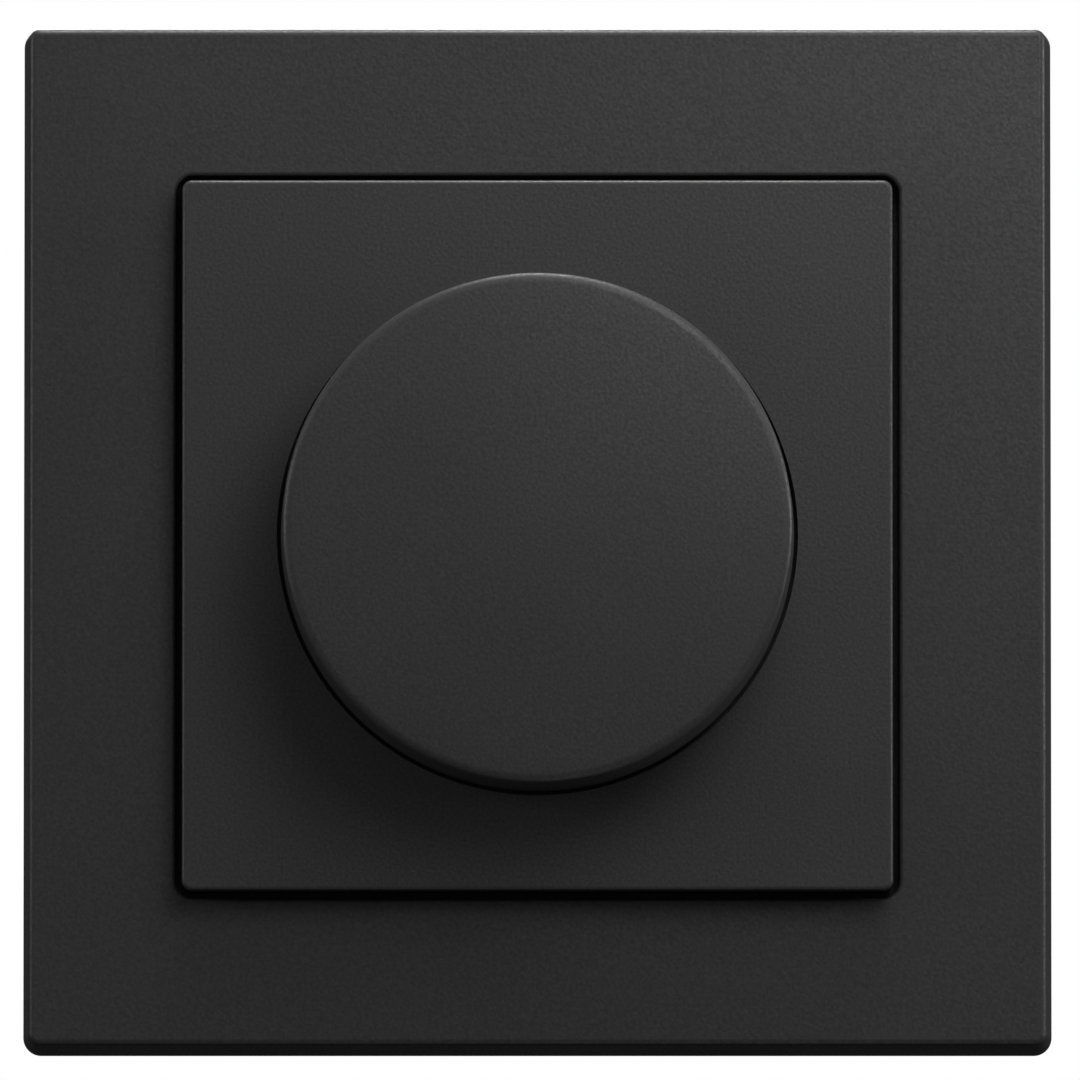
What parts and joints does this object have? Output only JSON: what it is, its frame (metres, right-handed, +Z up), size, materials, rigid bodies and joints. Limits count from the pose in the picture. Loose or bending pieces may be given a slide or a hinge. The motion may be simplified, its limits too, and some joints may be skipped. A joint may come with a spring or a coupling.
{
  "type": "rotary dimmer switch",
  "caption": "Flush rotary dimmer: square frame, proud square plate and large plain round knob on a round wall-box insert with claws and screw terminals.",
  "frame": {"origin": "on the wall plane, at the centre of the switch and midway between the box screws", "axes": "+Z up the wall, +X to the right as seen from the front, the front faces -Y and the insert reaches into the wall along +Y"},
  "size_m": [0.08, 0.056, 0.08],
  "materials": {
    "anthracite_plastic": "fine-grained matte",
    "steel": "zinc-plated sheet",
    "dark_plastic": "moulded, matte",
    "grey_plastic": "moulded, matte",
    "white_plastic": "moulded, glossy",
    "brass": "turned or stamped",
    "nickel": "nickel-plated",
    "spring_steel": "bright wire",
    "board_laminate": "solder-resist coated",
    "ferrite": "sintered",
    "copper_wire": "enamelled wire",
    "film_yellow": "moulded case",
    "sleeve_blue": "shrink sleeve",
    "epoxy_black": "moulded epoxy",
    "glass": "clear tube"
  },
  "bodies": {
    "root": {"cover_frame": "anthracite_plastic", "cover_plate": "anthracite_plastic", "plate_nut": "nickel", "bush": "nickel", "bush_nut": "nickel", "support_ring": "steel", "housing": "grey_plastic", "housing_screws": "steel", "pot_case": "dark_plastic", "track_disc": "board_laminate", "switch_case": "dark_plastic", "return_spring": "spring_steel", "switch_contacts": "brass", "circuit_board": "board_laminate", "choke_core": "ferrite", "choke_winding": "copper_wire", "film_capacitor": "film_yellow", "electrolytic_capacitor": "sleeve_blue", "varistor": "sleeve_blue", "triac": "epoxy_black", "triac_pad": "white_plastic", "triac_rivet": "steel", "resistors": "grey_plastic", "control_chip": "epoxy_black", "fuse_tube": "glass", "fuse_caps": "nickel", "fuse_clips": "brass", "trimmer_base": "white_plastic", "terminal_cage_upper_left": "nickel", "terminal_cage_upper_right": "nickel", "terminal_cage_lower_left": "nickel", "terminal_cage_lower_right": "nickel", "terminal_screws": "steel", "claw_pins": "steel"},
    "switch_carriage": {"switch_slider": "white_plastic", "contact_bridge": "brass"},
    "knob_and_shaft": {"knob": "anthracite_plastic", "hub_ring": "spring_steel", "shaft": "brass"},
    "wiper": {"wiper_rotor": "white_plastic", "wiper_contact": "brass"},
    "trimmer": {"trimmer_rotor": "brass"},
    "claw_screw_top_body": {"claw_screw_top": "steel"},
    "claw_nut_top_body": {"claw_nut_top": "steel"},
    "claw_top_body": {"claw_top": "steel"},
    "claw_screw_bottom_body": {"claw_screw_bottom": "steel"},
    "claw_nut_bottom_body": {"claw_nut_bottom": "steel"},
    "claw_bottom_body": {"claw_bottom": "steel"}
  },
  "joints": [
    {"name": "knob_push", "type": "slide", "parent": "root", "child": "switch_carriage", "axis": [0, 1, 0], "range_m": [0, 0.0015], "stiffness_N_per_m": 1500, "deforming": ["return_spring"]},
    {"name": "knob_turn", "type": "hinge", "parent": "switch_carriage", "child": "knob_and_shaft", "pos_m": [0, 0, 0], "axis": [0, 1, 0], "range_deg": [-135, 135]},
    {"name": "wiper_turn", "type": "hinge", "parent": "root", "child": "wiper", "pos_m": [0, 0, 0], "axis": [0, 1, 0], "range_deg": [-135, 135]},
    {"name": "trimmer_turn", "type": "hinge", "parent": "root", "child": "trimmer", "pos_m": [0.014, 0, 0.0128], "axis": [0, 1, 0], "range_deg": [-120, 120]},
    {"name": "claw_nut_top_slide", "type": "slide", "parent": "root", "child": "claw_nut_top_body", "axis": [0, -1, 0], "range_m": [0, 0.00115]},
    {"name": "claw_screw_top_turn", "type": "hinge", "parent": "root", "child": "claw_screw_top_body", "pos_m": [0, 0, 0.025], "axis": [0, 1, 0], "range_deg": [0, 828.83]},
    {"name": "claw_top_swing", "type": "hinge", "parent": "root", "child": "claw_top_body", "pos_m": [0, 0.0048, 0.0202], "axis": [1, 0, 0], "range_deg": [0, 28.03]},
    {"name": "claw_nut_bottom_slide", "type": "slide", "parent": "root", "child": "claw_nut_bottom_body", "axis": [0, -1, 0], "range_m": [0, 0.00115]},
    {"name": "claw_screw_bottom_turn", "type": "hinge", "parent": "root", "child": "claw_screw_bottom_body", "pos_m": [0, 0, -0.025], "axis": [0, 1, 0], "range_deg": [0, 828.83]},
    {"name": "claw_bottom_swing", "type": "hinge", "parent": "root", "child": "claw_bottom_body", "pos_m": [0, 0.0048, -0.0202], "axis": [-1, 0, 0], "range_deg": [0, 28.03]}
  ],
  "couplings": [
    {"joint": "wiper_turn", "follows": "knob_turn", "ratio": 1},
    {"joint": "claw_screw_top_turn", "follows": "claw_nut_top_slide", "rad_per_m": 12566},
    {"joint": "claw_top_swing", "follows": "claw_nut_top_slide", "rad_per_m": 424.95},
    {"joint": "claw_screw_bottom_turn", "follows": "claw_nut_bottom_slide", "rad_per_m": 12566},
    {"joint": "claw_bottom_swing", "follows": "claw_nut_bottom_slide", "rad_per_m": 424.95}
  ]
}
